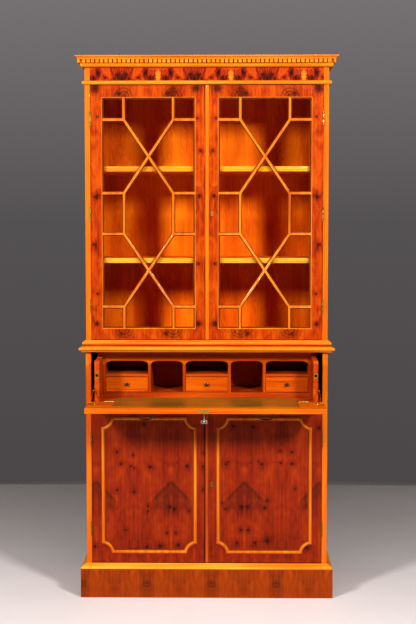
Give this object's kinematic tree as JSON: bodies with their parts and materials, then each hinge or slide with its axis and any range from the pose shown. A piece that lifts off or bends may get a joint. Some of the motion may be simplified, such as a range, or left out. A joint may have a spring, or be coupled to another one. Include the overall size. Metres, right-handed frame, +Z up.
{
  "type": "secretaire bookcase desk",
  "caption": "Secretaire bookcase: drop-front writing drawer with pigeonholes over a two-door cupboard, under a bookcase with lattice-glazed doors.",
  "frame": {"origin": "middle of the footprint of the whole piece at rest (fall open), on the floor", "axes": "+X to the viewer's right, +Y from the front towards the back, +Z up"},
  "size_m": [0.949, 0.651, 1.98],
  "materials": {
    "light_yew": "straight-grained yew sapwood veneer and mouldings, golden orange, gloss lacquer",
    "case_yew": "yew veneer on board, gloss lacquer",
    "door_yew": "figured yew veneer with small dark knots, gloss lacquer",
    "cupboard_yew": "dark red-brown figured yew veneer with small knots, gloss lacquer",
    "burr_yew": "burr yew veneer, book-matched, gloss lacquer",
    "inside_wood": "stained hardwood veneer, satin lacquer",
    "nook_wood": "light hardwood, satin lacquer",
    "back_board": "stained plywood",
    "writing_leather": "olive green hide with a gilt tooled border, polished",
    "brass": "polished brass",
    "key_steel": "plated steel",
    "black_metal": "dark bronzed drop handles",
    "glass": "clear window glass"
  },
  "bodies": {
    "carcase": {"plinth_frame": "case_yew", "plinth_moulding": "light_yew", "lower_side_panels": "case_yew", "lower_face_frame": "light_yew", "lower_end_boards": "inside_wood", "drawer_board": "inside_wood", "lower_back_panel": "back_board", "cupboard_shelf": "inside_wood", "lower_waist_moulding": "light_yew", "upper_side_panels": "case_yew", "upper_face_frame": "light_yew", "upper_end_boards": "inside_wood", "upper_back_panel": "back_board", "bookcase_shelves": "inside_wood", "upper_waist_moulding": "light_yew", "frieze_board": "burr_yew", "cornice_mouldings": "light_yew", "dentil_course": "light_yew", "hinge_case_leaves": "brass"},
    "secretaire_drawer": {"drawer_bed": "inside_wood", "bed_leather": "writing_leather", "drawer_cheeks": "inside_wood", "drawer_back": "inside_wood", "pigeonhole_boards": "inside_wood", "pigeonhole_partitions": "inside_wood", "arched_valance": "nook_wood", "catch_plates": "brass", "fall_hinge_fixed_leaves": "brass"},
    "fall": {"fall_panel": "door_yew", "fall_leather": "writing_leather", "fall_hinge_leaves": "brass", "fall_lock": "brass", "fall_studs_and_stay_ears": "brass", "handle_posts": "black_metal"},
    "left_handle": {"left_handle": "black_metal"},
    "right_handle": {"right_handle": "black_metal"},
    "fall_key": {"fall_key": "key_steel"},
    "fall_lock_bolt": {"fall_lock_bolt": "brass"},
    "stay_cheek_arms": {"stay_cheek_arms": "brass"},
    "stay_fall_arms": {"stay_fall_arms": "brass"},
    "lower_left_door": {"lower_left_door_panel": "cupboard_yew", "lower_left_door_moulding": "light_yew", "lower_left_door_hinge_leaves": "brass"},
    "lower_right_door": {"lower_right_door_panel": "cupboard_yew", "lower_right_door_moulding": "light_yew", "lower_right_door_fittings": "brass"},
    "upper_left_door": {"upper_left_door_frame": "door_yew", "upper_left_door_glass": "glass", "upper_left_door_astragals": "light_yew", "upper_left_door_hinge_leaves": "brass"},
    "upper_right_door": {"upper_right_door_frame": "door_yew", "upper_right_door_glass": "glass", "upper_right_door_astragals": "light_yew", "upper_right_door_fittings": "brass"},
    "left_small_drawer": {"left_small_drawer": "nook_wood", "left_knob": "black_metal"},
    "centre_small_drawer": {"centre_small_drawer": "nook_wood", "centre_knob": "black_metal"},
    "right_small_drawer": {"right_small_drawer": "nook_wood", "right_knob": "black_metal"}
  },
  "joints": [
    {"name": "secretaire_drawer_slide", "type": "slide", "parent": "carcase", "child": "secretaire_drawer", "axis": [0, -1, 0], "range_m": [-0.1, 0]},
    {"name": "fall_hinge", "type": "hinge", "parent": "secretaire_drawer", "child": "fall", "pos_m": [0, -0.1555, 0.736], "axis": [1, 0, 0], "range_deg": [-90, 0]},
    {"name": "left_handle_drop", "type": "hinge", "parent": "fall", "child": "left_handle", "pos_m": [-0.213, -0.2445, 0.703], "axis": [-1, 0, 0], "range_deg": [-88, 60]},
    {"name": "right_handle_drop", "type": "hinge", "parent": "fall", "child": "right_handle", "pos_m": [0.213, -0.2445, 0.703], "axis": [-1, 0, 0], "range_deg": [-88, 60]},
    {"name": "key_turn", "type": "hinge", "parent": "fall", "child": "fall_key", "pos_m": [-0.005, -0.2945, 0.7], "axis": [0, 0, 1], "range_deg": [0, 90]},
    {"name": "lock_bolt_slide", "type": "slide", "parent": "fall", "child": "fall_lock_bolt", "axis": [0, -1, 0], "range_m": [-0.0002, 0.0082]},
    {"name": "stay_cheek_pivot", "type": "hinge", "parent": "secretaire_drawer", "child": "stay_cheek_arms", "pos_m": [0, -0.0895, 0.808], "axis": [1, 0, 0], "range_deg": [-0.5, 30.17]},
    {"name": "stay_fall_pivot", "type": "hinge", "parent": "fall", "child": "stay_fall_arms", "pos_m": [0, -0.2455, 0.745], "axis": [1, 0, 0], "range_deg": [-19.2, 0.5]},
    {"name": "lower_left_door_hinge", "type": "hinge", "parent": "carcase", "child": "lower_left_door", "pos_m": [-0.4229, -0.0767, 0.42], "axis": [0, 0, -1], "range_deg": [0, 100]},
    {"name": "lower_right_door_hinge", "type": "hinge", "parent": "carcase", "child": "lower_right_door", "pos_m": [0.4229, -0.0767, 0.42], "axis": [0, 0, 1], "range_deg": [0, 100]},
    {"name": "upper_left_door_hinge", "type": "hinge", "parent": "carcase", "child": "upper_left_door", "pos_m": [-0.4229, -0.0592, 1.41], "axis": [0, 0, -1], "range_deg": [0, 100]},
    {"name": "upper_right_door_hinge", "type": "hinge", "parent": "carcase", "child": "upper_right_door", "pos_m": [0.4229, -0.0592, 1.41], "axis": [0, 0, 1], "range_deg": [0, 100]},
    {"name": "left_small_drawer_slide", "type": "slide", "parent": "secretaire_drawer", "child": "left_small_drawer", "axis": [0, -1, 0], "range_m": [0, 0.15]},
    {"name": "centre_small_drawer_slide", "type": "slide", "parent": "secretaire_drawer", "child": "centre_small_drawer", "axis": [0, -1, 0], "range_m": [0, 0.15]},
    {"name": "right_small_drawer_slide", "type": "slide", "parent": "secretaire_drawer", "child": "right_small_drawer", "axis": [0, -1, 0], "range_m": [0, 0.15]}
  ],
  "couplings": [
    {"joint": "lock_bolt_slide", "follows": "key_turn", "m_per_rad": 0.005093},
    {"joint": "stay_cheek_pivot", "follows": "fall_hinge", "ratio": -0.32969},
    {"joint": "stay_fall_pivot", "follows": "fall_hinge", "ratio": 0.20784}
  ]
}
